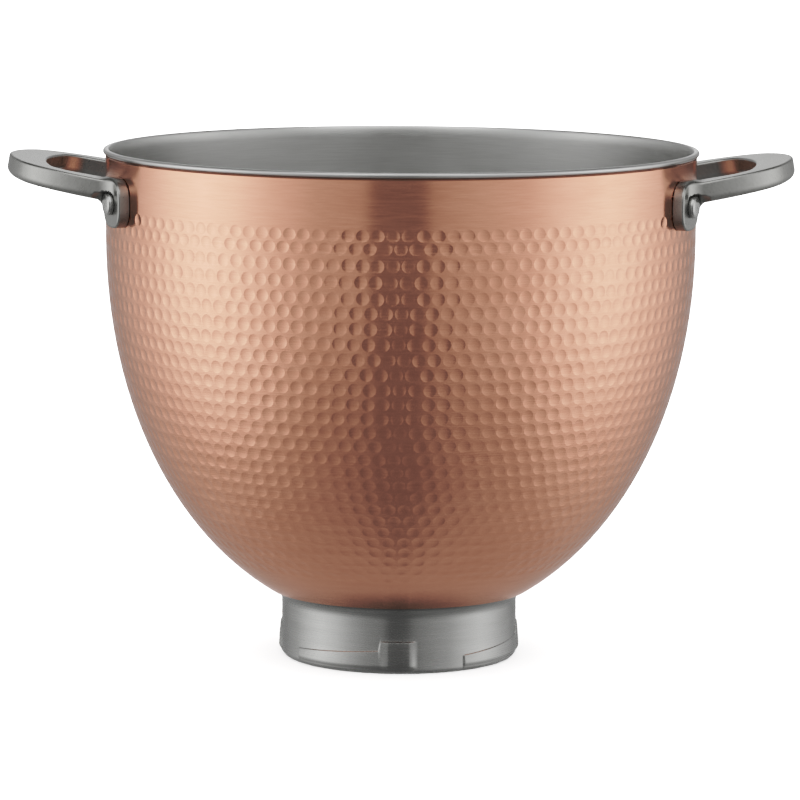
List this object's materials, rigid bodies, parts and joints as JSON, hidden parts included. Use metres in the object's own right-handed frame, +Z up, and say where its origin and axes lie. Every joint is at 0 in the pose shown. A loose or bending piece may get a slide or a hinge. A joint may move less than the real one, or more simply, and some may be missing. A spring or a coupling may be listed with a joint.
{
  "type": "stand mixer bowl",
  "caption": "Deep round mixing bowl: hammered copper shell over a steel liner, rolled rim, riveted loop handles and a twist-lock base ring.",
  "frame": {"origin": "centre of the base ring's foot, on the surface that the bowl stands on", "axes": "+Z up along the bowl's axis; the two handles point along +X and -X; -Y is the side seen in the picture"},
  "size_m": [0.298, 0.226, 0.1945],
  "materials": {
    "hammered_copper": "bare hammered copper with a fine brushed grain",
    "brushed_liner": "brushed round the bowl",
    "brushed_base": "satin, brushed round the ring",
    "satin_handle": "satin",
    "steel_rivet": "satin, slightly brighter on the domed ends"
  },
  "bodies": {
    "root": {"bowl_liner": "brushed_liner", "copper_shell": "hammered_copper", "base_ring": "brushed_base", "handle_left": "satin_handle", "handle_right": "satin_handle", "rivet_left_front": "steel_rivet", "rivet_left_back": "steel_rivet", "rivet_right_front": "steel_rivet", "rivet_right_back": "steel_rivet"}
  },
  "joints": []
}
